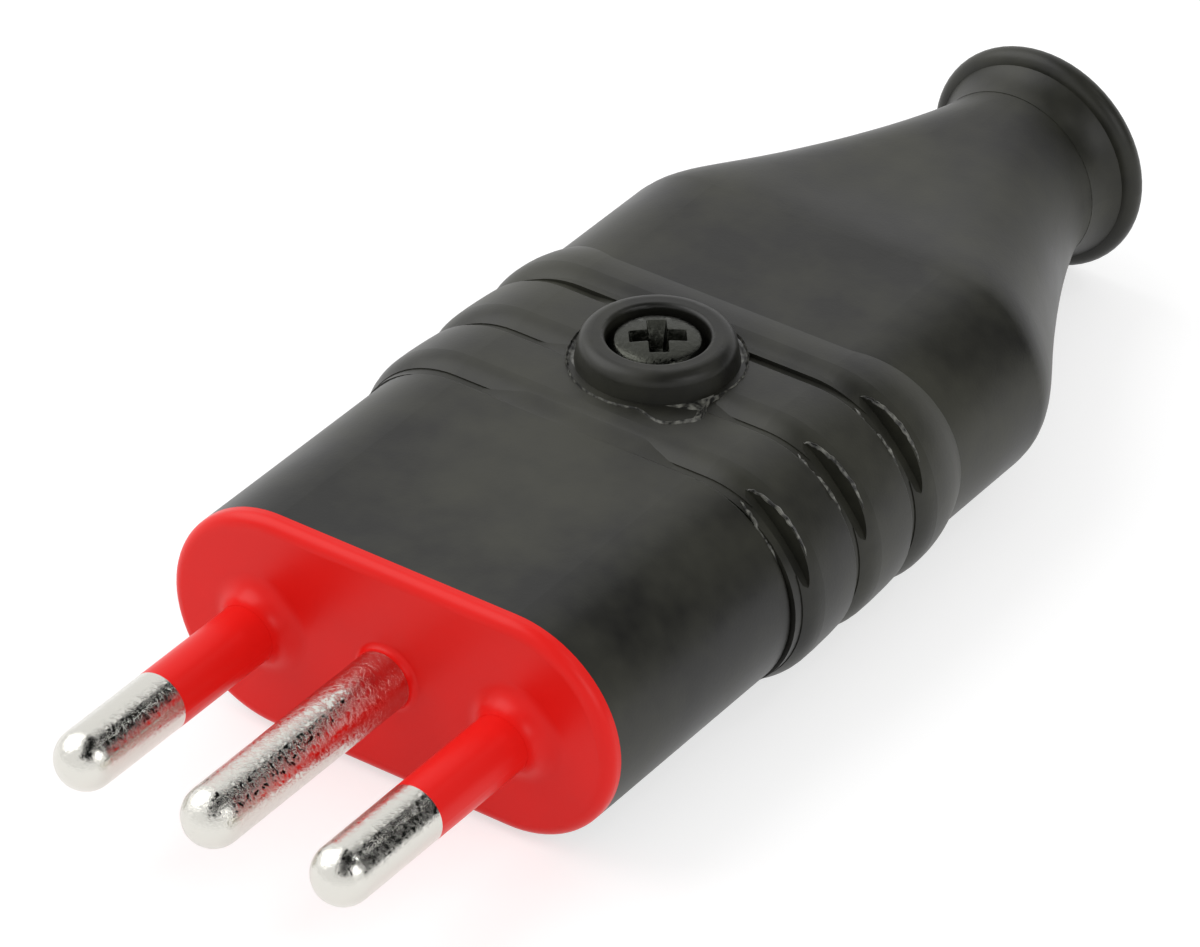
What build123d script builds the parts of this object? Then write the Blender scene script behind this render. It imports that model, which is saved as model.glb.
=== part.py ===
from build123d import *
import math
import os

os.makedirs("parts", exist_ok=True)

# Rewireable three-pin plug for a 10 A cord, in millimetres.
# Y runs from the pins to the cord outlet and Z points up through the housing screw.
# The origin is on the earth pin's axis, in the face that meets the socket.

# Pins
pin_pitch = 9.5
pin_radius = 2.0
pin_length = 19.0
sleeve_reach = 10.0
pin_waist_radius = 1.5
pin_clearance = 0.05
root_flare = 0.8
earth_collar = 0.2

# Terminals, which are the pins' square rear ends
terminal_size = 5.0
terminal_length = 11.0
wire_hole_radius = 1.5
wire_hole_depth = 7.5
terminal_screw_radius = 1.4
terminal_screw_head_radius = 2.1
terminal_screw_head_height = 1.3
terminal_screw_setback = 4.0
terminal_edge = 0.3
screw_play = 0.05

# Housing
side_margin = 6.9
body_height = 15.2
wall = 1.65
shoulder_y = 47.2
neck_y = 69.6
neck_radius = 6.3
cord_bore_radius = 4.0
rim_radius = 8.0
rim_thickness = 1.7
rim_flare = 0.8
rim_flare_length = 2.4
taper_ease = 3.0
taper_width_power = 1.3
taper_height_power = 2.4
taper_stations = 8
taper_spacing_power = 1.5
neck_flat = 0.02
taper_step = 0.04

# Grip ribs, wider than the rest of the housing, and the slits before them, counted from the pins
rib_count = 3
first_slit_y = 19.6
rib_pitch = 6.25
rib_spread = 0.6
rib_height = 0.25
rib_foot_depth = 0.25
rib_tail_height = 0.05
rib_runout_depth = 0.7
rib_rise = 1.7
slit_width = 0.7
slit_depth = 0.32
slit_lip_round = 0.25

# Notch that each slit opens into at the upper corner on the right
notch_angle = 42.0
notch_setback = 0.75
notch_length = 7.2
notch_width = 1.1
notch_depth = 1.15

# Screw collar
collar_y = 28.3
collar_radius = 5.45
collar_foot_z = 6.4
collar_top_z = 9.65
collar_draft = 10.0
collar_round = 0.9
collar_bore_radius = 3.3
collar_floor_z = 7.1
collar_lip_round = 0.3

# Housing screw and its nut
screw_radius = 1.95
screw_hole_clearance = 0.2
screw_head_radius = 2.95
screw_head_height = 2.2
screw_head_round = 0.45
screw_end_z = -3.6
recess_length = 4.0
recess_width = 0.9
recess_depth = 0.9
nut_size = 7.0
nut_thickness = 3.2
nut_clearance = 0.1
nut_top_z = 0.2

# Pin carrier
flange_thickness = 1.2
flange_round = 0.8
carrier_clearance = 0.12
front_wall = 5.0
pocket_clearance = 0.1
pocket_depth_z = 2.6
cover_plane_z = 4.2
cover_gap = 0.05
cover_lip = 1.2
cover_lip_overlap = 0.8
block_end_y = 20.0
tail_half_width = 8.6
tail_floor = 1.6
tail_end_y = 39.0
nut_boss_radius = 5.6
pad_clearance = 0.15
pad_half_width = 8.0
pad_margin = 0.8
pad_z = 4.3

# Cord clamp
clamp_depth = 3.6
clamp_screw_x = 6.4
clamp_post_width = 4.2
clamp_top_clearance = 0.35
clamp_cord_radius = 3.4
clamp_bar_thickness = 1.5
clamp_screw_radius = 1.2
clamp_screw_head_radius = 2.0
clamp_screw_head_height = 1.2
clamp_screw_depth = 5.5
slot_width = 0.6
slot_depth = 0.5

# Worked out from the above
half_width = pin_pitch + side_margin
body_width = 2 * half_width
half_height = body_height / 2
rim_y = neck_y + rim_flare_length + rim_thickness
flat_half = half_width - half_height
rib_flat_half = flat_half + rib_spread
slit_floor = half_height - slit_depth
slit_ys = [first_slit_y + rib_pitch * k for k in range(rib_count)]
cavity_half_width = half_width - wall
cavity_half_height = half_height - wall
block_half_width = cavity_half_width - carrier_clearance
block_half_height = cavity_half_height - carrier_clearance
terminal_half = terminal_size / 2
terminal_end_y = front_wall + terminal_length
terminal_screw_y = terminal_end_y - terminal_screw_setback
pocket_half = terminal_half + pocket_clearance
cover_z = cover_plane_z + cover_gap
pin_xs = {"line": -pin_pitch, "earth": 0.0, "neutral": pin_pitch}
live_pins = ("line", "neutral")
sleeve_collar_radius = pin_radius + root_flare
earth_collar_radius = pin_radius + earth_collar
collar_radii = {"line": sleeve_collar_radius, "earth": earth_collar_radius, "neutral": sleeve_collar_radius}
tail_floor_z = tail_floor - block_half_height
pad_start_y = block_end_y + pad_margin
boss_top_z = pad_z - pad_clearance
clamp_y = tail_end_y - clamp_depth / 2
pad_end_y = tail_end_y - clamp_depth - pad_margin
clamp_bar_top_z = cavity_half_height - clamp_top_clearance - clamp_screw_head_height
clamp_seat_z = clamp_bar_top_z - clamp_bar_thickness
REARWARD = (Align.CENTER, Align.MIN, Align.CENTER)


def section(y, x=0):
    """Plane across the plug at y, centred on x, with its normal along Y."""
    return Plane(origin=(x, y, 0), x_dir=(-1, 0, 0), z_dir=(0, 1, 0))


def level(z):
    """Horizontal plane at z."""
    return Plane.XY.offset(z)


def taper_outline(t, wide, high, round_radius):
    """Outline at t along the taper, from wide by high at 0 to a circle of round_radius at 1.
    Each quarter is one curve, flat along the top and round at the side. It stays a hair
    inside those sizes, so that it never crosses the outlines that it joins."""
    wide, high, round_radius = wide - taper_step, high - taper_step, round_radius - taper_step
    ease = taper_ease / (neck_y - shoulder_y)
    fall = t * t / (2 * ease) if t < ease else t - ease / 2
    left_over = 1 - fall / (1 - ease / 2)
    narrowest = round_radius + neck_flat
    across = narrowest + (wide - narrowest) * left_over**taper_width_power
    up = round_radius + (high - round_radius) * left_over**taper_height_power
    flat = across - up
    quarter = [(0, up), (flat / 2, up)]
    for turn in range(0, 91, 18):
        angle = math.radians(turn)
        quarter.append((flat + up * math.sin(angle), up * math.cos(angle)))
    with BuildSketch() as outline:
        with BuildLine():
            Spline(quarter, tangents=((1, 0), (0, -1)))
            mirror(about=Plane.YZ)
            mirror(about=Plane.XZ)
        make_face()
    return outline.sketch


def finish(builder, name):
    """Label a finished piece and write it to its own file."""
    builder.part.label = name
    export_step(builder.part, f"parts/{name}.step")


def sleeve_profile():
    """Upper half of the front sleeve's side view, with a rounded lip at the first slit."""
    end_y = slit_ys[0] - slit_width / 2
    with BuildSketch() as profile:
        with BuildLine():
            Polyline(
                (flange_thickness, 0),
                (flange_thickness, half_height),
                (end_y, half_height),
                (end_y, 0),
                close=True,
            )
        make_face()
        fillet(profile.vertices().group_by(Axis.Y)[-1].sort_by(Axis.X)[-1], slit_lip_round)
    return profile.sketch


def rib_profile(slit_y, is_last):
    """Upper half of a rib's side view: a front slope, a crest, and a long back with a lip at the next slit.
    The last rib runs out into the rear body."""
    start_y = slit_y + slit_width / 2
    next_y = slit_y + rib_pitch
    foot = (start_y, half_height - rib_foot_depth)
    crest = (start_y + rib_rise, half_height + rib_height)
    if is_last:
        tail = (next_y, half_height - rib_runout_depth)
    else:
        tail = (next_y - slit_width / 2, half_height + rib_tail_height)
    with BuildSketch() as profile:
        with BuildLine():
            Line((start_y, 0), foot)
            TangentArc(crest, foot, tangent=(-1, 0))
            TangentArc(crest, tail, tangent=(1, 0))
            Polyline(tail, (tail[0], 0), (start_y, 0))
        make_face()
        if not is_last:
            fillet(profile.vertices().filter_by(lambda v: v.Y > 0).sort_by(Axis.X)[-1], slit_lip_round)
    return profile.sketch


def rear_profile():
    """Upper half of the side view of the body behind the last slit."""
    start_y = slit_ys[-1] + slit_width / 2
    with BuildSketch() as profile:
        with Locations(((start_y + shoulder_y) / 2, half_height / 2)):
            Rectangle(shoulder_y - start_y, half_height)
    return profile.sketch


# Rubber housing, one moulding
with BuildPart() as rubber_housing:
    # Front sleeve, ribs and rear body, each from its side view: extruded across the flat middle
    # and turned half round at each end. The ribs' ends are turned further out.
    ribs = [rib_profile(slit_y, slit_y == slit_ys[-1]) for slit_y in slit_ys]
    for profiles, reach in (([sleeve_profile(), rear_profile()], flat_half), (ribs, rib_flat_half)):
        with BuildSketch(Plane.YZ):
            add(profiles)
            mirror(about=Plane.XZ)
        extrude(amount=reach, both=True)
        for side in (-1, 1):
            with BuildSketch(Plane.YZ.offset(side * reach)):
                add(profiles)
            revolve(axis=Axis((side * reach, 0, 0), (0, side, 0)), revolution_arc=180)

    # Core at the foot of the slits
    with BuildSketch(section(slit_ys[0] - slit_width / 2)):
        SlotOverall(2 * (rib_flat_half + slit_floor), 2 * slit_floor)
    extrude(amount=slit_ys[-1] - slit_ys[0] + slit_width)

    # Notches, each with a flat floor across the rounded corner
    notch_radians = math.radians(notch_angle)
    notch_outward = (math.cos(notch_radians), 0, math.sin(notch_radians))
    notch_floor = half_height + rib_height - notch_depth
    for slit_y in slit_ys:
        middle = (
            rib_flat_half + notch_floor * notch_outward[0],
            slit_y + notch_setback,
            notch_floor * notch_outward[2],
        )
        with BuildSketch(Plane(origin=middle, x_dir=(0, 1, 0), z_dir=notch_outward)):
            Ellipse(notch_width / 2, notch_length / 2)
        extrude(amount=half_height, mode=Mode.SUBTRACT)

    # Taper, lofted down to the round neck
    for k in range(taper_stations):
        t = (k / (taper_stations - 1)) ** taper_spacing_power
        with BuildSketch(section(shoulder_y + (neck_y - shoulder_y) * t)):
            add(taper_outline(t, half_width, half_height, neck_radius))
    loft()

    # Neck's flare and beaded rim
    with BuildSketch(Plane.XY):
        with BuildLine():
            Line((0, neck_y), (neck_radius, neck_y))
            flare_end = (neck_radius + rim_flare, neck_y + rim_flare_length)
            TangentArc((neck_radius, neck_y), flare_end, tangent=(0, 1))
            bead_radius = rim_thickness / 2
            bead = CenterArc((rim_radius - bead_radius, rim_y - bead_radius), bead_radius, -90, 180)
            Line(flare_end, bead @ 0)
            Polyline(bead @ 1, (0, rim_y), (0, neck_y))
        make_face()
    revolve(axis=Axis.Y)

    # Collar, drafted, with a rounded lip
    with BuildSketch(level(collar_foot_z)):
        with Locations((0, collar_y)):
            Circle(collar_radius)
    extrude(amount=collar_top_z - collar_foot_z, taper=collar_draft)
    collar_edges = rubber_housing.edges().filter_by(GeomType.CIRCLE).group_by(Axis.Z)
    fillet(collar_edges[-1], collar_round)

    # Cavity for the pin carrier and the cord's cores, narrowing to the cord bore
    with BuildSketch(section(flange_thickness)):
        SlotOverall(2 * cavity_half_width, 2 * cavity_half_height)
    extrude(amount=shoulder_y - flange_thickness, mode=Mode.SUBTRACT)
    for k in range(taper_stations):
        t = (k / (taper_stations - 1)) ** taper_spacing_power
        with BuildSketch(section(shoulder_y + (neck_y - shoulder_y) * t)):
            add(taper_outline(t, cavity_half_width, cavity_half_height, cord_bore_radius))
    loft(mode=Mode.SUBTRACT)
    with BuildSketch(section(neck_y)):
        Circle(cord_bore_radius)
    extrude(amount=rim_y - neck_y, mode=Mode.SUBTRACT)

    # Pad that thickens the rubber under the collar, and the stepped hole for the screw
    with BuildSketch(level(pad_z)):
        with Locations((0, (pad_start_y + pad_end_y) / 2)):
            Rectangle(2 * pad_half_width, pad_end_y - pad_start_y)
    extrude(amount=cavity_half_height - pad_z + wall / 4)
    with Locations((0, collar_y, collar_top_z)):
        CounterBoreHole(
            screw_radius + screw_hole_clearance,
            collar_bore_radius,
            collar_top_z - collar_floor_z,
            depth=collar_top_z - pad_z + wall / 4,
        )
    bore_lip = rubber_housing.edges().filter_by(GeomType.CIRCLE).filter_by(
        lambda e: abs(e.radius - collar_bore_radius) < 0.01 and abs(e.center().Z - collar_top_z) < 0.01
    )
    fillet(bore_lip, collar_lip_round)
finish(rubber_housing, "rubber_housing")


# Pin carrier: the red flange and, behind it, the block that holds the pins' terminals
with BuildPart() as pin_carrier:
    with BuildSketch(section(0)):
        SlotOverall(body_width, body_height)
    extrude(amount=flange_thickness)
    fillet(pin_carrier.faces().sort_by(Axis.Y)[0].edges(), flange_round)
    with BuildSketch(section(flange_thickness)):
        SlotOverall(2 * block_half_width, 2 * block_half_height)
    extrude(amount=block_end_y - flange_thickness)

    # Rebate for the cover and a pocket for each terminal, open to the rear
    with Locations((0, front_wall, cover_plane_z)):
        Box(
            body_width,
            body_width,
            body_height,
            align=(Align.CENTER, Align.MIN, Align.MIN),
            mode=Mode.SUBTRACT,
        )
    with BuildSketch(level(-pocket_depth_z)):
        for x in pin_xs.values():
            with Locations((x, (front_wall + block_end_y) / 2)):
                Rectangle(2 * pocket_half, block_end_y - front_wall)
    extrude(amount=pocket_depth_z + cover_plane_z, mode=Mode.SUBTRACT)

    # Holes for the collars of the sleeves and of the earth pin
    for name, x in pin_xs.items():
        with BuildSketch(section(0, x)):
            Circle(collar_radii[name] + pin_clearance)
        extrude(amount=front_wall, mode=Mode.SUBTRACT)

    # Tail: floor, nut boss, and cord clamp with its two posts and cradle
    with BuildSketch(level(-block_half_height)):
        with Locations((0, (block_end_y + tail_end_y) / 2)):
            Rectangle(2 * tail_half_width, tail_end_y - block_end_y)
    extrude(amount=tail_floor)
    with BuildSketch(level(tail_floor_z)):
        with Locations((0, collar_y)):
            Circle(nut_boss_radius)
    extrude(amount=boss_top_z - tail_floor_z)
    with BuildSketch(level(tail_floor_z)):
        with Locations((0, clamp_y)):
            with GridLocations(2 * clamp_screw_x, 1, 2, 1):
                Rectangle(clamp_post_width, clamp_depth)
    extrude(amount=clamp_seat_z - tail_floor_z)
    with BuildSketch(level(tail_floor_z)):
        with Locations((0, clamp_y)):
            Rectangle(2 * clamp_screw_x, clamp_depth)
    extrude(amount=-tail_floor_z / 2)
    with BuildSketch(section(tail_end_y - clamp_depth)):
        Circle(clamp_cord_radius)
    extrude(amount=clamp_depth, mode=Mode.SUBTRACT)
    with Locations((-clamp_screw_x, clamp_y, clamp_seat_z), (clamp_screw_x, clamp_y, clamp_seat_z)):
        Hole(clamp_screw_radius + screw_play, depth=clamp_screw_depth - clamp_bar_thickness + wall / 4)

    # Screw hole in the boss, and a nut pocket that opens to one side
    with Locations((0, collar_y, boss_top_z)):
        Hole(screw_radius + screw_hole_clearance, depth=boss_top_z - screw_end_z + wall / 4)
    pocket_side = nut_size + 2 * nut_clearance
    with Locations((-pocket_side / 2, collar_y, nut_top_z + nut_clearance)):
        Box(
            pocket_side / 2 + nut_boss_radius,
            pocket_side,
            nut_thickness + 2 * nut_clearance,
            align=(Align.MIN, Align.CENTER, Align.MAX),
            mode=Mode.SUBTRACT,
        )
finish(pin_carrier, "pin_carrier")


# Cover over the terminal pockets, with a lip behind each terminal and a driver hole over each screw
with BuildPart() as carrier_cover:
    with BuildSketch(section(front_wall + pocket_clearance)):
        SlotOverall(2 * block_half_width, 2 * block_half_height)
    extrude(amount=block_end_y - front_wall - pocket_clearance)
    split(bisect_by=level(cover_z), keep=Keep.TOP)
    lip_z = terminal_half - cover_lip_overlap
    for x in pin_xs.values():
        with Locations((x, terminal_end_y + screw_play, lip_z)):
            Box(
                2 * terminal_half,
                cover_lip,
                cover_z - lip_z + cover_gap,
                align=(Align.CENTER, Align.MIN, Align.MIN),
            )
        with Locations((x, terminal_screw_y, body_height / 2)):
            Hole(terminal_screw_head_radius + pocket_clearance)
finish(carrier_cover, "carrier_cover")


# Pins: a turned shank with a ball end and a square pillar terminal.
# The live pins are waisted under their sleeves, and the earth pin has a collar inside the carrier.
for name, x in pin_xs.items():
    step_y = -sleeve_reach if name in live_pins else 0
    inner_radius = pin_waist_radius if name in live_pins else earth_collar_radius
    with BuildPart() as pin:
        with BuildSketch(Plane(origin=(x, 0, 0))):
            with BuildLine():
                ball = CenterArc((0, pin_radius - pin_length), pin_radius, -90, 90)
                Polyline(
                    ball @ 1,
                    (pin_radius, step_y),
                    (inner_radius, step_y),
                    (inner_radius, front_wall),
                    (0, front_wall),
                    ball @ 0,
                )
            make_face()
        revolve(axis=Axis((x, 0, 0), (0, 1, 0)))
        with Locations((x, front_wall, 0)):
            Box(terminal_size, terminal_length, terminal_size, align=REARWARD)
        long_edges = pin.edges().filter_by(Axis.Y).filter_by(GeomType.LINE)
        fillet(long_edges.filter_by(lambda e: abs(e.center().Z) > pin_radius), terminal_edge)
        with BuildSketch(section(terminal_end_y, x)):
            Circle(wire_hole_radius)
        extrude(amount=-wire_hole_depth, mode=Mode.SUBTRACT)
        with Locations((x, terminal_screw_y, terminal_half)):
            Hole(terminal_screw_radius + screw_play, depth=terminal_half)
    finish(pin, f"{name}_pin")


# Sleeves over the waists of the two live pins, flush with the bare metal and flared at the face
for name in live_pins:
    x = pin_xs[name]
    sleeve_bore_radius = pin_waist_radius + pin_clearance
    sleeve_end_y = front_wall - pocket_clearance
    with BuildPart() as sleeve:
        with BuildSketch(Plane(origin=(x, 0, 0))):
            with BuildLine():
                Line((pin_radius, -sleeve_reach), (pin_radius, -root_flare))
                RadiusArc((pin_radius, -root_flare), (sleeve_collar_radius, 0), root_flare)
                Polyline(
                    (sleeve_collar_radius, 0),
                    (sleeve_collar_radius, sleeve_end_y),
                    (sleeve_bore_radius, sleeve_end_y),
                    (sleeve_bore_radius, -sleeve_reach),
                    (pin_radius, -sleeve_reach),
                )
            make_face()
        revolve(axis=Axis((x, 0, 0), (0, 1, 0)))
    finish(sleeve, f"{name}_pin_sleeve")


def slotted_screw(name, x, y, seat_z, head_radius, head_height, shank_radius, shank_length):
    """Cheese-headed screw standing at x, y with its head on seat_z."""
    with BuildPart() as screw:
        with BuildSketch(level(seat_z)):
            with Locations((x, y)):
                Circle(head_radius)
        extrude(amount=head_height)
        chamfer(screw.faces().sort_by(Axis.Z)[-1].edges(), slot_depth / 3)
        with BuildSketch(level(seat_z)):
            with Locations((x, y)):
                Circle(shank_radius)
        extrude(amount=-shank_length)
        with Locations((x, y, seat_z + head_height)):
            Box(
                2 * head_radius,
                slot_width,
                slot_depth,
                align=(Align.CENTER, Align.CENTER, Align.MAX),
                mode=Mode.SUBTRACT,
            )
    finish(screw, name)


# Terminal screws, their tips just above the bottom of the conductors
for name, x in pin_xs.items():
    slotted_screw(
        f"{name}_terminal_screw",
        x,
        terminal_screw_y,
        terminal_half + pocket_clearance,
        terminal_screw_head_radius,
        terminal_screw_head_height,
        terminal_screw_radius,
        terminal_half,
    )


# Cord clamp: an arched bar on the two posts, and its screws
with BuildPart() as cord_clamp_bar:
    with BuildSketch(level(clamp_seat_z)):
        with Locations((0, clamp_y)):
            SlotOverall(2 * clamp_screw_x + clamp_post_width, clamp_depth)
    extrude(amount=clamp_bar_thickness)
    with BuildSketch(section(tail_end_y - clamp_depth)):
        Circle(clamp_cord_radius)
    extrude(amount=clamp_depth, mode=Mode.SUBTRACT)
    with Locations((-clamp_screw_x, clamp_y, clamp_bar_top_z), (clamp_screw_x, clamp_y, clamp_bar_top_z)):
        Hole(clamp_screw_radius + screw_play)
finish(cord_clamp_bar, "cord_clamp_bar")

for side, sign in (("left", -1), ("right", 1)):
    slotted_screw(
        f"cord_clamp_screw_{side}",
        sign * clamp_screw_x,
        clamp_y,
        clamp_bar_top_z,
        clamp_screw_head_radius,
        clamp_screw_head_height,
        clamp_screw_radius,
        clamp_screw_depth,
    )


# Housing screw with its cross recess, and the square nut in the carrier's tail
with BuildPart() as housing_screw:
    with BuildSketch(level(collar_floor_z)):
        with Locations((0, collar_y)):
            Circle(screw_head_radius)
    extrude(amount=screw_head_height)
    fillet(housing_screw.faces().sort_by(Axis.Z)[-1].edges(), screw_head_round)
    with BuildSketch(level(collar_floor_z)):
        with Locations((0, collar_y)):
            Circle(screw_radius)
    extrude(amount=screw_end_z - collar_floor_z)
    with BuildSketch(level(collar_floor_z + screw_head_height)):
        with Locations((0, collar_y)):
            Rectangle(recess_length, recess_width)
            Rectangle(recess_width, recess_length)
    extrude(amount=-recess_depth, mode=Mode.SUBTRACT)
finish(housing_screw, "housing_screw")

with BuildPart() as housing_screw_nut:
    with BuildSketch(level(nut_top_z)):
        with Locations((0, collar_y)):
            Rectangle(nut_size, nut_size)
            Circle(screw_radius + screw_play, mode=Mode.SUBTRACT)
    extrude(amount=-nut_thickness)
finish(housing_screw_nut, "housing_screw_nut")
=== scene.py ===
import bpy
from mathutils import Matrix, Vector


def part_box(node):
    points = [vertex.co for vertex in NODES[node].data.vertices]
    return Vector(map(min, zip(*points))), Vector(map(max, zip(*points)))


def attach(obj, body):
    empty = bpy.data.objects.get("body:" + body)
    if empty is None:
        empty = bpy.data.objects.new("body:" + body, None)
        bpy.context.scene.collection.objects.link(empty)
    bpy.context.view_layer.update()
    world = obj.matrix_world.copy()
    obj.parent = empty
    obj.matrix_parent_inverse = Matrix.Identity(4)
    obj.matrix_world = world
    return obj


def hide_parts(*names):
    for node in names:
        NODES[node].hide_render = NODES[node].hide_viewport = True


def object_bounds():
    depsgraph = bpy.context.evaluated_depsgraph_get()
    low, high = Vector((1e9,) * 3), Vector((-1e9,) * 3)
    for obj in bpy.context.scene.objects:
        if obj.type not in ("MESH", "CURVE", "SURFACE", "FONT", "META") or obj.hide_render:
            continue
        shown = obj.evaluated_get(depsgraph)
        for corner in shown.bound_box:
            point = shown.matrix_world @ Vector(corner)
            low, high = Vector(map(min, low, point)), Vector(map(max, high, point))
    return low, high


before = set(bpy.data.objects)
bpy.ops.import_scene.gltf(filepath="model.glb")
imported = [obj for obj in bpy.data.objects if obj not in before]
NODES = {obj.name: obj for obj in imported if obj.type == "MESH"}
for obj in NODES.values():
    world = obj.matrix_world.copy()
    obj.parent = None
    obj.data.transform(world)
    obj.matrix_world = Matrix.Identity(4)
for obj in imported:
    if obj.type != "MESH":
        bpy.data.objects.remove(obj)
cad_bounds = [list(corner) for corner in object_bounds()]

import math
import random

import bpy
from bpy.props import FloatProperty, FloatVectorProperty, PointerProperty
from mathutils import Matrix, Vector

bl_info = {
    "name": "Three-pin plug dresser",
    "version": (1, 0, 0),
    "blender": (4, 5, 0),
    "location": "3D View > Sidebar > Plug",
    "description": "Finishes a rewireable three-pin plug: rubber housing, red carrier, pins and screws",
    "category": "Object",
}

MM = 0.001
BODY = "root"
CAD_LOW, CAD_HIGH = (Vector(corner) for corner in cad_bounds)


# Colours

def to_linear(hex_colour):
    """Linear RGBA of an sRGB colour written as #rrggbb."""
    channels = [int(hex_colour[i:i + 2], 16) / 255 for i in (1, 3, 5)]
    return [c / 12.92 if c <= 0.04045 else ((c + 0.055) / 1.055) ** 2.4 for c in channels] + [1.0]


# Sizes: the screw's and the pins' places from their nodes, the rest given

def node_centre(name):
    low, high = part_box(name)
    return (low + high) / 2


# Housing screw: its place and its head's radius from its node's box, then its head's height and its shank
SCREW_LOW, SCREW_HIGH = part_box("housing_screw")
SCREW_CENTRE = node_centre("housing_screw")
SCREW_HEAD_RADIUS = (SCREW_HIGH.x - SCREW_LOW.x) / 2
SCREW_HEAD_HEIGHT = 2.2 * MM
SCREW_SHANK_RADIUS = 1.95 * MM

# Pins: their radius, and their places across the plug from their nodes
PIN_RADIUS = 2.0 * MM
PIN_XS = {name: node_centre(name + "_pin").x for name in ("line", "earth", "neutral")}

# Rubber's flat top and the foot of the screw collar on it
TOP_Z = 7.6 * MM
COLLAR_FOOT_RADIUS = 5.24 * MM


class RubberSettings(bpy.types.PropertyGroup):
    colour: FloatVectorProperty(
        name="Rubber", description="Colour of the moulded rubber", subtype="COLOR", size=4,
        default=to_linear("#181815"), min=0, max=1)
    # Paler colour of the cloudy painted reflection patches on the rubber
    painted_reflection_colour: FloatVectorProperty(
        name="Bloom", description="Greyer colour where wax has come to the surface",
        subtype="COLOR", size=4, default=to_linear("#35352d"), min=0, max=1)
    grain: FloatProperty(
        name="Mould grain", description="Size of the mould's fine texture", default=0.22 * MM,
        unit="LENGTH", min=0.01 * MM)
    roughness: FloatProperty(
        name="Roughness", description="Roughness of the bare rubber", subtype="FACTOR",
        default=0.4, min=0, max=1)


class CarrierSettings(bpy.types.PropertyGroup):
    colour: FloatVectorProperty(
        name="Red", description="Colour of the moulded pin carrier", subtype="COLOR", size=4,
        default=to_linear("#e91b16"), min=0, max=1)
    roughness: FloatProperty(
        name="Roughness", description="Roughness of the red plastic", subtype="FACTOR",
        default=0.34, min=0, max=1)


class MetalSettings(bpy.types.PropertyGroup):
    nickel: FloatVectorProperty(
        name="Nickel", description="Colour of the plated pins", subtype="COLOR", size=4,
        default=to_linear("#d9d7d0"), min=0, max=1)
    steel: FloatVectorProperty(
        name="Steel", description="Colour of the plated screws", subtype="COLOR", size=4,
        default=to_linear("#c9cac8"), min=0, max=1)
    # Dark colour of the housing screw's plating: a painted dark reflection on what is shiny metal
    screw_colour_painted_dark: FloatVectorProperty(
        name="Black zinc", description="Colour of the housing screw", subtype="COLOR", size=4,
        default=to_linear("#3d3e39"), min=0, max=1)


class ScrewSettings(bpy.types.PropertyGroup):
    recess_span: FloatProperty(
        name="Recess span", description="Length of the cross recess from end to end", default=4.9 * MM,
        unit="LENGTH", min=0.5 * MM)
    recess_width: FloatProperty(
        name="Wing width", description="Width of the cross recess's wings", default=1.7 * MM,
        unit="LENGTH", min=0.1 * MM)
    recess_depth: FloatProperty(
        name="Recess depth", description="Depth of the cross recess", default=1.9 * MM,
        unit="LENGTH", min=0.1 * MM)
    recess_turn: FloatProperty(
        name="Recess turn", description="How far the screw is turned", default=math.radians(38),
        unit="ROTATION")


class StageSettings(bpy.types.PropertyGroup):
    floor: FloatVectorProperty(
        name="Floor", description="Colour of the floor", subtype="COLOR", size=4,
        default=to_linear("#f4f4f2"), min=0, max=1)
    key_power: FloatProperty(
        name="Key light", description="Power of the large soft light", unit="POWER", default=1.6, min=0)
    fill_power: FloatProperty(
        name="Fill light", description="Power of the light on the right", unit="POWER", default=0.5, min=0)
    spot_power: FloatProperty(
        name="Spot light", description="Power of the small light overhead", unit="POWER",
        default=0.05, min=0)


# Materials

def add_node(tree, kind, inputs=None, **settings):
    """Adds a node. inputs maps a socket's name or index to a value, or to another node's output."""
    node = tree.nodes.new(kind)
    for key, value in settings.items():
        setattr(node, key, value)
    for key, value in (inputs or {}).items():
        if isinstance(value, bpy.types.NodeSocket):
            tree.links.new(value, node.inputs[key])
        else:
            node.inputs[key].default_value = value
    return node


def empty_tree(owner):
    """The node tree of a material or a world, with nothing in it."""
    owner.use_nodes = True
    owner.node_tree.nodes.clear()
    return owner.node_tree


def new_material(name):
    material = bpy.data.materials.new(name)
    return material, empty_tree(material)


def object_place(tree):
    """Object coordinates, in metres."""
    return add_node(tree, "ShaderNodeTexCoord").outputs["Object"]


def add_noise(tree, where, size, detail, roughness=0.5):
    """Noise whose patches are about as wide as the size."""
    inputs = {"Vector": where, "Scale": 1 / size, "Detail": detail, "Roughness": roughness}
    return add_node(tree, "ShaderNodeTexNoise", inputs).outputs["Fac"]


def add_range(tree, value, start, end, low=0, high=1):
    """Turns values from start to end into values from low to high."""
    inputs = {"Value": value, "From Min": start, "From Max": end, "To Min": low, "To Max": high}
    return add_node(tree, "ShaderNodeMapRange", inputs).outputs[0]


def add_larger(tree, first, second):
    """The larger of two values."""
    return add_node(tree, "ShaderNodeMath", {0: first, 1: second}, operation="MAXIMUM").outputs[0]


def add_blend(tree, share, first, second):
    """Goes from the first colour to the second as the share goes from 0 to 1."""
    inputs = {"Factor": share, 6: first, 7: second}
    return add_node(tree, "ShaderNodeMix", inputs, data_type="RGBA").outputs[2]


def add_bump(tree, height, strength, distance, under=None):
    """A normal with bumps from a height. They lie on the bumps under them, if any."""
    inputs = {"Height": height, "Strength": strength, "Distance": distance}
    if under is not None:
        inputs["Normal"] = under
    return add_node(tree, "ShaderNodeBump", inputs).outputs[0]


def grey(value):
    return (value, value, value, 1)


def close_tree(tree, shader):
    add_node(tree, "ShaderNodeOutputMaterial", {"Surface": shader.outputs[0]})


def close_material(material, inputs):
    """Ends a material in one shader with these inputs."""
    tree = material.node_tree
    close_tree(tree, add_node(tree, "ShaderNodeBsdfPrincipled", inputs))
    return material


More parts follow.
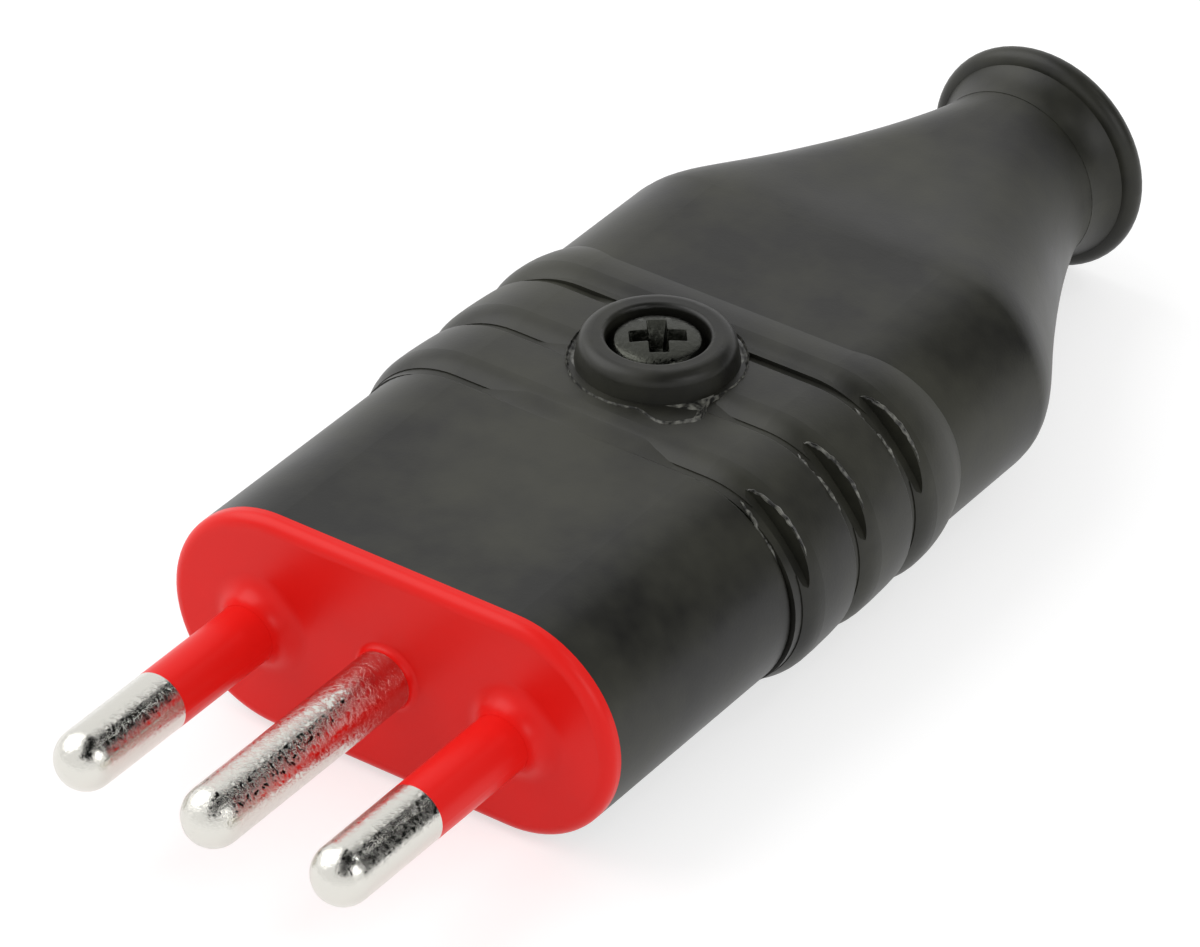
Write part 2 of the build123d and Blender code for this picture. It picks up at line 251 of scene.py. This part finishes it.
def moulded_rubber(settings):
    """Black moulded rubber: satin, with the mould's fine grain and faint, cloudy patches of painted
    reflection.
    """
    material, tree = new_material("moulded_rubber")
    where = object_place(tree)
    clouds = add_noise(tree, where, size=12 * MM, detail=4, roughness=0.6)
    # Painted reflection: cloudy patches where the rubber's colour goes towards the paler colour, in place
    # of soft reflections
    colour = add_blend(tree, add_range(tree, clouds, 0.42, 0.66), settings.colour, settings.painted_reflection_colour)
    gloss = add_range(tree, clouds, 0.3, 0.7, settings.roughness - 0.07, settings.roughness + 0.06)
    sag = add_noise(tree, where, size=7 * MM, detail=1)
    waves = add_bump(tree, sag, strength=0.35, distance=0.3 * MM)
    grain = add_noise(tree, where, size=settings.grain, detail=3)
    bump = add_bump(tree, grain, strength=0.3, distance=0.02 * MM, under=waves)
    return close_material(material, {
        "Base Color": colour, "Roughness": gloss, "IOR": 1.52, "Specular IOR Level": 0.3, "Normal": bump})


def rubber_with_painted_glints():
    """Flash of the same rubber, glossy where it left the mould, with pale specks of painted highlight on
    it.
    """
    material, tree = new_material("thin_rubber_flash")
    specks = add_noise(tree, object_place(tree), size=0.5 * MM, detail=3)
    share = add_range(tree, specks, 0.4, 0.65)
    # Painted highlight: pale specks in the dark rubber stand in for light caught by the raised edges of
    # the flash and the lips
    colour = add_blend(tree, share, to_linear("#1c1c1a"), to_linear("#75756e"))
    bump = add_bump(tree, specks, strength=0.4, distance=0.08 * MM)
    return close_material(material, {"Base Color": colour, "Roughness": 0.3, "IOR": 1.52, "Normal": bump})


def moulded_red_plastic(settings):
    """Red moulded urea plastic: semi-gloss, slightly translucent, with faint orange peel."""
    material, tree = new_material("moulded_red_plastic")
    where = object_place(tree)
    clouds = add_noise(tree, where, size=6 * MM, detail=3)
    brightness = add_range(tree, clouds, 0, 1, 0.94, 1.05)
    colour = add_node(tree, "ShaderNodeHueSaturation", {"Value": brightness, "Color": settings.colour})
    gloss = add_range(tree, clouds, 0, 1, settings.roughness - 0.05, settings.roughness + 0.05)
    peel = add_noise(tree, where, size=0.6 * MM, detail=2)
    bump = add_bump(tree, peel, strength=0.2, distance=0.02 * MM)
    return close_material(material, {
        "Base Color": colour.outputs[0],
        "Roughness": gloss,
        "IOR": 1.5,
        "Normal": bump,
        "Specular IOR Level": 0.22,
        "Subsurface Weight": 0.06,
        "Subsurface Radius": (0.8 * MM, 0.15 * MM, 0.1 * MM),
        "Subsurface Scale": 1.0,
    })


def natural_plastic():
    """Uncoloured moulded polyamide: pale, waxy and semi-matt."""
    material, tree = new_material("natural_plastic")
    clouds = add_noise(tree, object_place(tree), size=3 * MM, detail=3)
    colour = add_blend(tree, clouds, to_linear("#d6d4c8"), to_linear("#e4e2d8"))
    bump = add_bump(tree, clouds, strength=0.1, distance=0.05 * MM)
    return close_material(material, {"Base Color": colour, "Roughness": 0.42, "IOR": 1.53, "Normal": bump})


# Axes along which a metal's streaks run
ALONG_Y = 1
ALONG_Z = 2
STREAK_STRETCH = 20


def plated_metal(name, colour, roughness, streak, along, pitting):
    """Bright plating over turned metal: fine streaks show through it, and pits break its reflections."""
    material, tree = new_material(name)
    where = object_place(tree)
    stretch = [1 / streak] * 3
    stretch[along] = 1 / (STREAK_STRETCH * streak)
    lines = add_node(tree, "ShaderNodeMapping", {"Vector": where, "Scale": stretch})
    streaks = add_noise(tree, lines.outputs[0], size=1.0, detail=4, roughness=0.65)
    pits = add_noise(tree, where, size=0.35 * MM, detail=5, roughness=0.7)
    scuffs = add_range(tree, pits, 0.45, 0.75)
    gloss = add_range(tree, scuffs, 0, 1, roughness, roughness + 0.14)
    fine = add_bump(tree, streaks, strength=0.25, distance=0.01 * MM)
    bump = add_bump(tree, scuffs, strength=pitting, distance=0.03 * MM, under=fine)
    return close_material(
        material, {"Base Color": colour, "Metallic": 1.0, "Roughness": gloss, "Normal": bump})


def dress(names, material):
    """Puts a material on CAD nodes, in place of the one that they came with."""
    for name in names:
        slots = NODES[name].data.materials
        slots.clear()
        slots.append(material)


# Modelling helpers

SMOOTH_ANGLE = math.radians(35)
WELD_DISTANCE = 0.001 * MM


def select_nothing():
    if bpy.context.object and bpy.context.object.mode != "OBJECT":
        bpy.ops.object.mode_set(mode="OBJECT")
    bpy.ops.object.select_all(action="DESELECT")


def select_only(piece):
    select_nothing()
    piece.select_set(True)
    bpy.context.view_layer.objects.active = piece


def apply_place(piece):
    """Moves a piece's place into its mesh, so that its object sits at the origin."""
    select_only(piece)
    bpy.ops.object.transform_apply(location=True, rotation=True, scale=True)


def apply_modifier(piece, kind, **settings):
    select_only(piece)
    modifier = piece.modifiers.new(kind.title(), kind)
    for key, value in settings.items():
        setattr(modifier, key, value)
    bpy.ops.object.modifier_apply(modifier=modifier.name)


def recalculate_normals(piece):
    select_only(piece)
    bpy.ops.object.mode_set(mode="EDIT")
    bpy.ops.mesh.select_all(action="SELECT")
    bpy.ops.mesh.remove_doubles(threshold=WELD_DISTANCE)
    bpy.ops.mesh.normals_make_consistent(inside=False)
    bpy.ops.object.mode_set(mode="OBJECT")


def delete(piece):
    select_only(piece)
    bpy.ops.object.delete()


def select_parts(piece, kind, test):
    """Enters edit mode with only those faces or vertices selected that pass a test."""
    select_only(piece)
    bpy.ops.object.mode_set(mode="EDIT")
    bpy.ops.mesh.select_mode(type=kind)
    bpy.ops.mesh.select_all(action="DESELECT")
    bpy.ops.object.mode_set(mode="OBJECT")
    if kind == "FACE":
        for face in piece.data.polygons:
            face.select = test(face.center, face.normal)
    else:
        for vertex in piece.data.vertices:
            vertex.select = test(vertex.co)
    bpy.ops.object.mode_set(mode="EDIT")


def add_turned(name, profile, segments, is_ring):
    """A piece turned about Z from (radius, height) points. A ring's last point is joined to its first."""
    select_nothing()
    radius, height = profile[0]
    bpy.ops.mesh.primitive_circle_add(vertices=segments, radius=radius, location=(0, 0, height))
    piece = bpy.context.object
    piece.name = name
    apply_place(piece)
    bpy.ops.object.mode_set(mode="EDIT")
    bpy.ops.mesh.select_all(action="SELECT")
    for (last_radius, last_height), (radius, height) in zip(profile, profile[1:]):
        ratio = radius / last_radius
        bpy.ops.mesh.extrude_region_move()
        bpy.ops.transform.resize(value=(ratio, ratio, 1), center_override=(0, 0, 0))
        bpy.ops.transform.translate(value=(0, 0, height - last_height))
    bpy.ops.mesh.select_all(action="SELECT")
    if is_ring:
        bpy.ops.mesh.region_to_loop()
        bpy.ops.mesh.bridge_edge_loops()
    else:
        bpy.ops.mesh.fill_holes(sides=0)
    bpy.ops.object.mode_set(mode="OBJECT")
    return piece


def meet(piece, start, direction):
    """Where a ray first meets a piece, and the piece's normal there."""
    hit, place, normal, _ = piece.ray_cast(start, direction)
    if not hit:
        raise RuntimeError("A ray misses " + piece.name)
    return place, normal


def finish_piece(piece, material):
    """Turns the normals outwards, smooths what isn't an edge, puts the material on it and attaches it to
    the body.
    """
    recalculate_normals(piece)
    bpy.ops.object.shade_smooth_by_angle(angle=SMOOTH_ANGLE)
    piece.data.materials.clear()
    piece.data.materials.append(material)
    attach(piece, BODY)


# Housing screw

SCREW_SEGMENTS = 96
SCREW_DOME = 0.4 * MM
SCREW_DOME_STEPS = 10
SCREW_CROWN = 0.25 * MM
SCREW_EDGE_ROUND = 0.15 * MM
SCREW_TIP_CHAMFER = 0.5 * MM

# Cross recess: share of its width left at its bottom, the point below its middle, and its rounded edges
RECESS_TAPER = 0.5
RECESS_POINT_INSET = 0.08 * MM
RECESS_POINT_DEPTH = 0.3 * MM
RECESS_INNER_ROUND = 0.08 * MM
RECESS_RIM_ROUND = 0.13 * MM
RECESS_RIM_ANGLE = math.radians(40)


def dome_profile(radius, top, drop, steps):
    """Quarter of an ellipse, from the crown at the top to the head's edge."""
    turns = [math.pi / 2 * step / steps for step in range(1, steps + 1)]
    return [(radius * math.sin(turn), top - drop + drop * math.cos(turn)) for turn in turns]


def make_recess_cutter(settings, top):
    """Cross with walls that close in towards its bottom, and a point below its middle."""
    width, depth = settings.recess_width, settings.recess_depth
    wing = (settings.recess_span - width) / 2
    select_nothing()
    bpy.ops.mesh.primitive_cube_add(size=1, location=(0, 0, top), scale=(width, width, 2 * depth))
    cutter = bpy.context.object
    apply_place(cutter)
    select_parts(cutter, "FACE", lambda place, normal: abs(normal.z) < 0.5)
    bpy.ops.mesh.extrude_faces_move(TRANSFORM_OT_shrink_fatten={"value": wing})
    select_parts(cutter, "VERT", lambda place: place.z < top)
    bpy.ops.transform.resize(value=(RECESS_TAPER, RECESS_TAPER, 1), center_override=(0, 0, top))
    select_parts(cutter, "FACE", lambda place, normal: normal.z < -0.5 and place.xy.length < width / 4)
    bpy.ops.mesh.inset(thickness=RECESS_POINT_INSET)
    bpy.ops.transform.translate(value=(0, 0, -RECESS_POINT_DEPTH))
    bpy.ops.object.mode_set(mode="OBJECT")
    recalculate_normals(cutter)
    apply_modifier(cutter, "BEVEL", width=RECESS_INNER_ROUND, segments=2)
    cutter.rotation_euler.z = settings.recess_turn
    apply_place(cutter)
    return cutter


def make_housing_screw(settings, material):
    top, seat, tip = SCREW_HIGH.z + SCREW_CROWN, SCREW_HIGH.z - SCREW_HEAD_HEIGHT, SCREW_LOW.z
    edge = SCREW_HEAD_RADIUS - SCREW_EDGE_ROUND
    profile = dome_profile(edge, top, SCREW_DOME, SCREW_DOME_STEPS)
    profile += [
        (SCREW_HEAD_RADIUS, top - SCREW_DOME - SCREW_EDGE_ROUND),
        (SCREW_HEAD_RADIUS, seat + SCREW_EDGE_ROUND),
        (edge, seat),
        (SCREW_SHANK_RADIUS, seat),
        (SCREW_SHANK_RADIUS, tip + SCREW_TIP_CHAMFER),
        (SCREW_SHANK_RADIUS - SCREW_TIP_CHAMFER, tip),
    ]
    screw = add_turned("cross_head_screw", profile, SCREW_SEGMENTS, is_ring=False)
    recalculate_normals(screw)
    cutter = make_recess_cutter(settings, top)
    apply_modifier(screw, "BOOLEAN", operation="DIFFERENCE", object=cutter, solver="EXACT")
    delete(cutter)
    apply_modifier(
        screw, "BEVEL", width=RECESS_RIM_ROUND, segments=3,
        limit_method="ANGLE", angle_limit=RECESS_RIM_ANGLE)
    screw.location = (SCREW_CENTRE.x, SCREW_CENTRE.y, 0)
    apply_place(screw)
    finish_piece(screw, material)
    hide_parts("housing_screw")


# Fillets where the pins leave the red face

ROOT_FILLETS = {"line": 1.5 * MM, "earth": 0.45 * MM, "neutral": 1.5 * MM}
FILLET_SEGMENTS = 72
FILLET_STEPS = 12
FILLET_SKIN = 0.02 * MM
FILLET_SINK = 0.1 * MM
FILLET_OVERLAP = 0.3 * MM


def make_root_fillet(name, x, radius, material):
    """Ring with a hollow quarter-round, from the face up to the pin."""
    foot = PIN_RADIUS + FILLET_SKIN + radius
    turns = [math.pi / 2 * step / FILLET_STEPS for step in range(FILLET_STEPS + 1)]
    profile = [(foot - radius * math.sin(turn), radius - radius * math.cos(turn)) for turn in turns]
    inside = PIN_RADIUS - FILLET_OVERLAP
    profile += [(inside, radius), (inside, -FILLET_SINK), (foot, -FILLET_SINK)]
    ring = add_turned(name, profile, FILLET_SEGMENTS, is_ring=True)
    ring.rotation_euler.x = math.pi / 2
    ring.location.x = x
    apply_place(ring)
    finish_piece(ring, material)


# Thin flash of rubber that the mould left round the collar's foot

FLASH_SEGMENTS = 180
FLASH_SKIN = 0.16 * MM
FLASH_DISH = 0.08 * MM
FLASH_CURL = 0.2 * MM
FLASH_CURL_WIDTH = 0.12 * MM
FLASH_CREST = 0.05 * MM
FLASH_REACH = 0.45 * MM
FLASH_OVERLAP = 0.1 * MM
FLASH_JAG = 0.05 * MM
FLASH_SEED = 7

# Where the flash reaches further: a torn tongue at the front right, and a little more all along the front
TONGUE_TURN = math.radians(-44)
TONGUE_WIDTH = math.radians(17)
TONGUE_REACH = 1.7 * MM
FRONT_TURN = math.radians(-90)
FRONT_WIDTH = math.radians(40)
FRONT_REACH = 0.25 * MM


def flash_edge(turn):
    """How far the flash reaches from the collar at a turn about its axis."""
    tongue = math.exp(-((turn - TONGUE_TURN) / TONGUE_WIDTH) ** 4)
    front = math.exp(-((turn - FRONT_TURN) / FRONT_WIDTH) ** 4)
    return FLASH_REACH + TONGUE_REACH * tongue + FRONT_REACH * front


def make_collar_flash(material):
    inner, outer = COLLAR_FOOT_RADIUS - FLASH_OVERLAP, COLLAR_FOOT_RADIUS + FLASH_REACH
    low, high = TOP_Z - FLASH_SKIN, TOP_Z + FLASH_SKIN
    profile = [
        (inner, low),
        (inner, high),
        ((inner + outer) / 2, high - FLASH_DISH),
        (outer - FLASH_CURL_WIDTH, high),
        (outer - FLASH_CREST, high + FLASH_CURL),
        (outer, high),
        (outer, low),
    ]
    flash = add_turned("collar_flash", profile, FLASH_SEGMENTS, is_ring=True)
    chance = random.Random(FLASH_SEED)
    jags = [chance.uniform(-FLASH_JAG, FLASH_JAG) for _ in range(FLASH_SEGMENTS)]
    for vertex in flash.data.vertices:
        radius = vertex.co.xy.length
        if radius < inner + FLASH_OVERLAP / 2:
            continue
        turn = math.atan2(vertex.co.y, vertex.co.x)
        jag = jags[round((turn + math.pi) / (2 * math.pi) * FLASH_SEGMENTS) % FLASH_SEGMENTS]
        reach = COLLAR_FOOT_RADIUS + flash_edge(turn) + jag - inner
        share = (radius - inner) / (outer - inner)
        vertex.co.xy *= (inner + share * reach) / radius
    flash.location = (SCREW_CENTRE.x, SCREW_CENTRE.y, 0)
    apply_place(flash)
    finish_piece(flash, material)


# Raised, torn lips of the three notches, at the upper corner on the right

# The slits' places along the plug, the round corner of the ribs, and the notches' middle on it
SLIT_YS = [y * MM for y in (19.6, 25.85, 32.1)]
CORNER_X = 9.4 * MM
CORNER_RADIUS = 7.85 * MM
NOTCH_TURN = math.radians(42)

# The lips' size, their unevenness, and how far their middle stands off the rubber
LIP_HALF_LENGTH = 3.72 * MM
LIP_STEPS = 26
LIP_WOBBLE = 0.05 * MM
LIP_SKIN = 0.02 * MM
LIP_SEED = 11

# A lip's thickness, the least and greatest share of it along the lip, the share added everywhere,
# and the part of the lip's length that tapers at each end
LIP_THICKNESS = 0.12 * MM
LIP_SHARES = (0.5, 1.2)
LIP_ADDED_SHARE = 0.1
LIP_TAPER = 1 / 5

# Each lip follows an ellipse: its middle past the slit, its half width, and its first and last degrees
LIPS = (
    (0.475 * MM, 0.92 * MM, (200, 112)),
    (0.75 * MM, 0.68 * MM, (80, -30)),
)


def lip_points(housing, middle, half_width, span, chance):
    """Points along one lip, each dropped on the housing from outside, with an uneven thickness."""
    points = []
    for step in range(LIP_STEPS + 1):
        share = step / LIP_STEPS
        turn = math.radians(span[0] + (span[1] - span[0]) * share)
        y = middle + half_width * math.cos(turn) + chance.uniform(-LIP_WOBBLE, LIP_WOBBLE)
        corner = NOTCH_TURN + math.asin(LIP_HALF_LENGTH * math.sin(turn) / CORNER_RADIUS)
        outward = Vector((math.cos(corner), 0, math.sin(corner)))
        start = Vector((CORNER_X, y, 0)) + outward * 2 * CORNER_RADIUS
        place, normal = meet(housing, start, -outward)
        taper = min(1, share / LIP_TAPER, (1 - share) / LIP_TAPER)
        points.append((place + normal * LIP_SKIN, chance.uniform(*LIP_SHARES) * taper + LIP_ADDED_SHARE))
    return points


def make_notch_lips(housing, material):
    chance = random.Random(LIP_SEED)
    select_nothing()
    bpy.ops.curve.primitive_nurbs_path_add()
    lips = bpy.context.object
    lips.name = "notch_lips"
    curve = lips.data
    curve.splines.clear()
    for slit_y in SLIT_YS:
        for middle, half_width, span in LIPS:
            points = lip_points(housing, slit_y + middle, half_width, span, chance)
            spline = curve.splines.new("NURBS")
            spline.points.add(len(points) - 1)
            for point, (place, thickness) in zip(spline.points, points):
                point.co = (*place, 1)
                point.radius = thickness
            spline.use_endpoint_u = True
            spline.order_u = 3
    curve.bevel_depth = LIP_THICKNESS
    curve.bevel_resolution = 2
    curve.resolution_u = 3
    curve.use_fill_caps = True
    select_only(lips)
    bpy.ops.object.convert(target="MESH")
    finish_piece(bpy.context.object, material)


# Webs of rubber in the slits. On the flat top they leave only shallow troughs, and towards the corners
# they sink, so that the slits come out from under them.

# How far they reach from the plug's middle, and over what length their ends sink
WEB_REACH = 9.2 * MM
WEB_FADE = 5.0 * MM

# Their front and back edges past a slit's middle
WEB_FRONT = -0.62 * MM
WEB_BACK = 1.1 * MM

WEB_SINK = 0.45 * MM
WEB_DIP = 0.08 * MM
WEB_THICKNESS = 0.3 * MM
WEB_STEPS = (60, 12)

# Beside the collar, where the webs take their heights from the housing
WEB_SIDE = 8.0 * MM

# Slit, then where its web starts and ends across the plug. The inner ends lie inside the collar's wall.
WEBS = (
    (0, -WEB_REACH, WEB_REACH),
    (1, -WEB_REACH, -4.0 * MM),
    (1, 4.0 * MM, WEB_REACH),
    (2, -WEB_REACH, -3.0 * MM),
)


def top_height(housing, x, y):
    """Height of the housing's upper surface."""
    place, _ = meet(housing, Vector((x, y, 2 * TOP_Z)), Vector((0, 0, -1)))
    return place.z


def make_slit_web(housing, name, slit, start, end, material):
    front, back = SLIT_YS[slit] + WEB_FRONT, SLIT_YS[slit] + WEB_BACK
    front_z, back_z = top_height(housing, WEB_SIDE, front), top_height(housing, WEB_SIDE, back)
    select_nothing()
    bpy.ops.mesh.primitive_grid_add(x_subdivisions=WEB_STEPS[0], y_subdivisions=WEB_STEPS[1], size=1)
    web = bpy.context.object
    web.name = name
    for vertex in web.data.vertices:
        along, across = vertex.co.x + 0.5, vertex.co.y + 0.5
        x = start + (end - start) * along
        near = min(1, (WEB_REACH - abs(x)) / WEB_FADE)
        fill = near * near * (3 - 2 * near)
        trough = WEB_DIP * 4 * across * (1 - across)
        height = front_z + (back_z - front_z) * across - trough - WEB_SINK * (1 - fill)
        vertex.co = (x, front + (back - front) * across, height)
    apply_modifier(web, "SOLIDIFY", thickness=WEB_THICKNESS, offset=-1)
    finish_piece(web, material)


# Operators: one for each group of pieces, and one for the stage

class PLUG_OT_finish_rubber(bpy.types.Operator):
    """Finish the rubber housing"""
    bl_idname = "plug.finish_rubber"
    bl_label = "Finish rubber housing"

    def execute(self, context):
        rubber = moulded_rubber(context.scene.plug_rubber)
        dress(["rubber_housing"], rubber)
        # The collar flash and the notch lips get the rubber with pale specks of painted highlight
        flash = rubber_with_painted_glints()
        make_collar_flash(flash)
        make_notch_lips(NODES["rubber_housing"], flash)
        for number, (slit, start, end) in enumerate(WEBS, 1):
            make_slit_web(NODES["rubber_housing"], f"slit_runout_{number}", slit, start, end, rubber)
        return {"FINISHED"}


class PLUG_OT_finish_carrier(bpy.types.Operator):
    """Finish the red pin carrier and the sleeves of the live pins"""
    bl_idname = "plug.finish_carrier"
    bl_label = "Finish pin carrier"

    def execute(self, context):
        red = moulded_red_plastic(context.scene.plug_carrier)
        dress(["pin_carrier", "line_pin_sleeve", "neutral_pin_sleeve"], red)
        dress(["carrier_cover", "cord_clamp_bar"], natural_plastic())
        for name, radius in ROOT_FILLETS.items():
            make_root_fillet(name + "_pin_root", PIN_XS[name], radius, red)
        return {"FINISHED"}


class PLUG_OT_finish_metal(bpy.types.Operator):
    """Finish the pins and the screws"""
    bl_idname = "plug.finish_metal"
    bl_label = "Finish pins and screws"

    def execute(self, context):
        settings = context.scene.plug_metal
        nickel = plated_metal(
            "nickel_plate", settings.nickel, roughness=0.1, streak=0.16 * MM, along=ALONG_Y, pitting=0.35)
        dress(["line_pin", "neutral_pin"], nickel)
        pitted = plated_metal(
            "pitted_nickel_plate", settings.nickel, roughness=0.1, streak=0.2 * MM,
            along=ALONG_Y, pitting=0.6)
        dress(["earth_pin"], pitted)
        steel = plated_metal(
            "zinc_plate", settings.steel, roughness=0.2, streak=0.1 * MM, along=ALONG_Z, pitting=0.3)
        dress([name for name in NODES if "screw" in name], steel)
        return {"FINISHED"}


class PLUG_OT_make_screw(bpy.types.Operator):
    """Model the housing screw with its domed head and cross recess"""
    bl_idname = "plug.make_screw"
    bl_label = "Make housing screw"

    def execute(self, context):
        scene = context.scene
        # The housing screw's dark metal colour is a painted dark reflection
        black = plated_metal(
            "black_zinc_plate", scene.plug_metal.screw_colour_painted_dark, roughness=0.1, streak=0.1 * MM,
            along=ALONG_Z, pitting=0.5)
        make_housing_screw(scene.plug_screw, black)
        return {"FINISHED"}


class PLUG_OT_set_stage(bpy.types.Operator):
    """Set up the floor, the lights and the camera"""
    bl_idname = "plug.set_stage"
    bl_label = "Set stage"

    def execute(self, context):
        settings = context.scene.plug_stage
        make_floor(settings)
        make_world()
        make_lights(settings)
        make_reflection_cards()
        make_camera()
        return {"FINISHED"}


# Floor, backdrop and lights

FLOOR_SIZE = 3.0

# What the camera sees of the floor: the shading that carries the shadow, and an even white under it
SHADED_SHARE = 0.5
GLOW_SHARE = 0.64

# Strength of the world's light on matt surfaces. For the camera and in reflections it is 1.
SOFT_LEVEL = 0.6


def add_seen(tree):
    """1 for rays from the camera and for reflections, otherwise 0. Also the light path's other outputs."""
    path = add_node(tree, "ShaderNodeLightPath").outputs
    return add_larger(tree, path["Is Camera Ray"], path["Is Glossy Ray"]), path


def make_floor(settings):
    select_nothing()
    bpy.ops.mesh.primitive_plane_add(size=FLOOR_SIZE, location=(0, 0, CAD_LOW.z))
    floor = bpy.context.object
    floor.name = "floor"
    apply_place(floor)
    material, tree = new_material("pale_paper")
    seen, _ = add_seen(tree)
    paper = add_node(tree, "ShaderNodeBsdfDiffuse", {"Color": settings.floor})
    shaded = add_node(tree, "ShaderNodeBsdfDiffuse", {"Color": grey(SHADED_SHARE)})
    glow = add_node(tree, "ShaderNodeEmission", {"Color": grey(1), "Strength": GLOW_SHARE})
    shown = add_node(tree, "ShaderNodeAddShader", {0: shaded.outputs[0], 1: glow.outputs[0]})
    mixed = add_node(tree, "ShaderNodeMixShader", {0: seen, 1: paper.outputs[0], 2: shown.outputs[0]})
    close_tree(tree, mixed)
    floor.data.materials.append(material)


def make_world():
    """White for the camera and for reflections, and a plain soft level of light for the rest."""
    world = bpy.data.worlds.new("studio")
    bpy.context.scene.world = world
    tree = empty_tree(world)
    seen, path = add_seen(tree)
    level = add_range(tree, add_larger(tree, seen, path["Is Transmission Ray"]), 0, 1, SOFT_LEVEL, 1)
    sky = add_node(tree, "ShaderNodeBackground", {"Color": grey(1), "Strength": level})
    add_node(tree, "ShaderNodeOutputWorld", {"Surface": sky.outputs[0]})


# Lights: where each one stands from the plug's middle, its size in metres, and the setting with its power
LIGHTS = {
    "key_light": ((-0.36, -0.1, 0.4), 0.5, "key_power"),
    "fill_light": ((0.45, -0.05, 0.3), 0.25, "fill_power"),
    "spot_light": ((0.19, 0.17, 0.34), 0.04, "spot_power"),
}


def make_lights(settings):
    centre = (CAD_LOW + CAD_HIGH) / 2
    for name, (place, size, power) in LIGHTS.items():
        bpy.ops.object.light_add(type="AREA", location=centre + Vector(place))
        light = bpy.context.object
        light.name = name
        light.data.shape = "SQUARE"
        light.data.size = size
        light.data.energy = getattr(settings, power)
        light.rotation_euler = (centre - light.location).to_track_quat("-Z", "Y").to_euler()


# Dark cards that only reflections see. Each corner is a direction from the plug.
CARD_DISTANCE = 0.55
CARDS = {
    "card_behind": ((0.92, 0.33, 0.01), (0.08, 0.4, 0.8), (0.0, 0.95, 0.6), (0.8, 0.95, 0.01)),
    "card_overhead": ((-0.25, 0.45, 0.75), (0.225, -0.8, 0.5), (0.9, -0.1, 0.25), (0.5, 0.55, 0.65)),
}


def make_reflection_cards():
    material, tree = new_material("black_card")
    close_tree(tree, add_node(tree, "ShaderNodeBsdfDiffuse", {"Color": to_linear("#161616")}))
    for name, corners in CARDS.items():
        corners = [Vector(corner).normalized() for corner in corners]
        middle = sum(corners, Vector()).normalized()
        select_nothing()
        bpy.ops.mesh.primitive_plane_add(size=1)
        card = bpy.context.object
        card.name = name
        for index, corner in zip(card.data.polygons[0].vertices, corners):
            card.data.vertices[index].co = corner * (CARD_DISTANCE / corner.dot(middle))
        for ray in ("visible_camera", "visible_diffuse", "visible_shadow", "visible_transmission"):
            setattr(card, ray, False)
        card.data.materials.append(material)


# Camera, from the photograph's view: 1200 by 947 pixels
VIEW_WIDTH_PX = 1200
VIEW_FOCAL_PX = 7564.671
VIEW_AZIMUTH = math.radians(34.862)
VIEW_ELEVATION = math.radians(34.486)
VIEW_ROLL = math.radians(0.648)
VIEW_DISTANCE = 468.257 * MM
VIEW_TARGET = Vector((0.037, 22.15, 2.547)) * MM
SENSOR_WIDTH = 36.0
CLIP_START = 0.01
CLIP_END = 20


def make_camera():
    az, el = VIEW_AZIMUTH, VIEW_ELEVATION
    back = Vector((math.sin(az) * math.cos(el), -math.cos(az) * math.cos(el), math.sin(el)))
    right = Vector((math.cos(az), math.sin(az), 0))
    up = back.cross(right)
    right, up = (
        math.cos(VIEW_ROLL) * right + math.sin(VIEW_ROLL) * up,
        math.cos(VIEW_ROLL) * up - math.sin(VIEW_ROLL) * right,
    )
    place = VIEW_TARGET + back * VIEW_DISTANCE
    bpy.ops.object.camera_add(location=place)
    camera = bpy.context.object
    camera.name = "camera"
    camera.matrix_world = Matrix((
        (right.x, up.x, back.x, place.x),
        (right.y, up.y, back.y, place.y),
        (right.z, up.z, back.z, place.z),
        (0, 0, 0, 1),
    ))
    camera.data.sensor_fit = "HORIZONTAL"
    camera.data.sensor_width = SENSOR_WIDTH
    camera.data.lens = VIEW_FOCAL_PX / VIEW_WIDTH_PX * SENSOR_WIDTH
    camera.data.clip_start = CLIP_START
    camera.data.clip_end = CLIP_END
    bpy.context.scene.camera = camera


class PLUG_PT_panel(bpy.types.Panel):
    """Shows the settings of each group of pieces, with the button that makes it"""
    bl_idname = "PLUG_PT_panel"
    bl_label = "Plug"
    bl_space_type = "VIEW_3D"
    bl_region_type = "UI"
    bl_category = "Plug"

    def draw(self, context):
        scene = context.scene
        for settings, operator in (
            (scene.plug_rubber, "plug.finish_rubber"),
            (scene.plug_carrier, "plug.finish_carrier"),
            (scene.plug_metal, "plug.finish_metal"),
            (scene.plug_screw, "plug.make_screw"),
            (scene.plug_stage, "plug.set_stage"),
        ):
            box = self.layout.box()
            for key in settings.__annotations__:
                box.prop(settings, key)
            box.operator(operator)


CLASSES = (
    RubberSettings, CarrierSettings, MetalSettings, ScrewSettings, StageSettings,
    PLUG_OT_finish_rubber, PLUG_OT_finish_carrier, PLUG_OT_finish_metal, PLUG_OT_make_screw,
    PLUG_OT_set_stage, PLUG_PT_panel,
)
SETTINGS = {
    "plug_rubber": RubberSettings,
    "plug_carrier": CarrierSettings,
    "plug_metal": MetalSettings,
    "plug_screw": ScrewSettings,
    "plug_stage": StageSettings,
}


def register():
    for cls in CLASSES:
        bpy.utils.register_class(cls)
    for name, group in SETTINGS.items():
        setattr(bpy.types.Scene, name, PointerProperty(type=group))


def unregister():
    for name in SETTINGS:
        delattr(bpy.types.Scene, name)
    for cls in reversed(CLASSES):
        bpy.utils.unregister_class(cls)


def main():
    register()
    bpy.ops.plug.finish_rubber()
    bpy.ops.plug.finish_carrier()
    bpy.ops.plug.finish_metal()
    bpy.ops.plug.make_screw()
    bpy.ops.plug.set_stage()
    bpy.context.scene.view_settings.view_transform = "Standard"


if __name__ == "__main__":
    main()
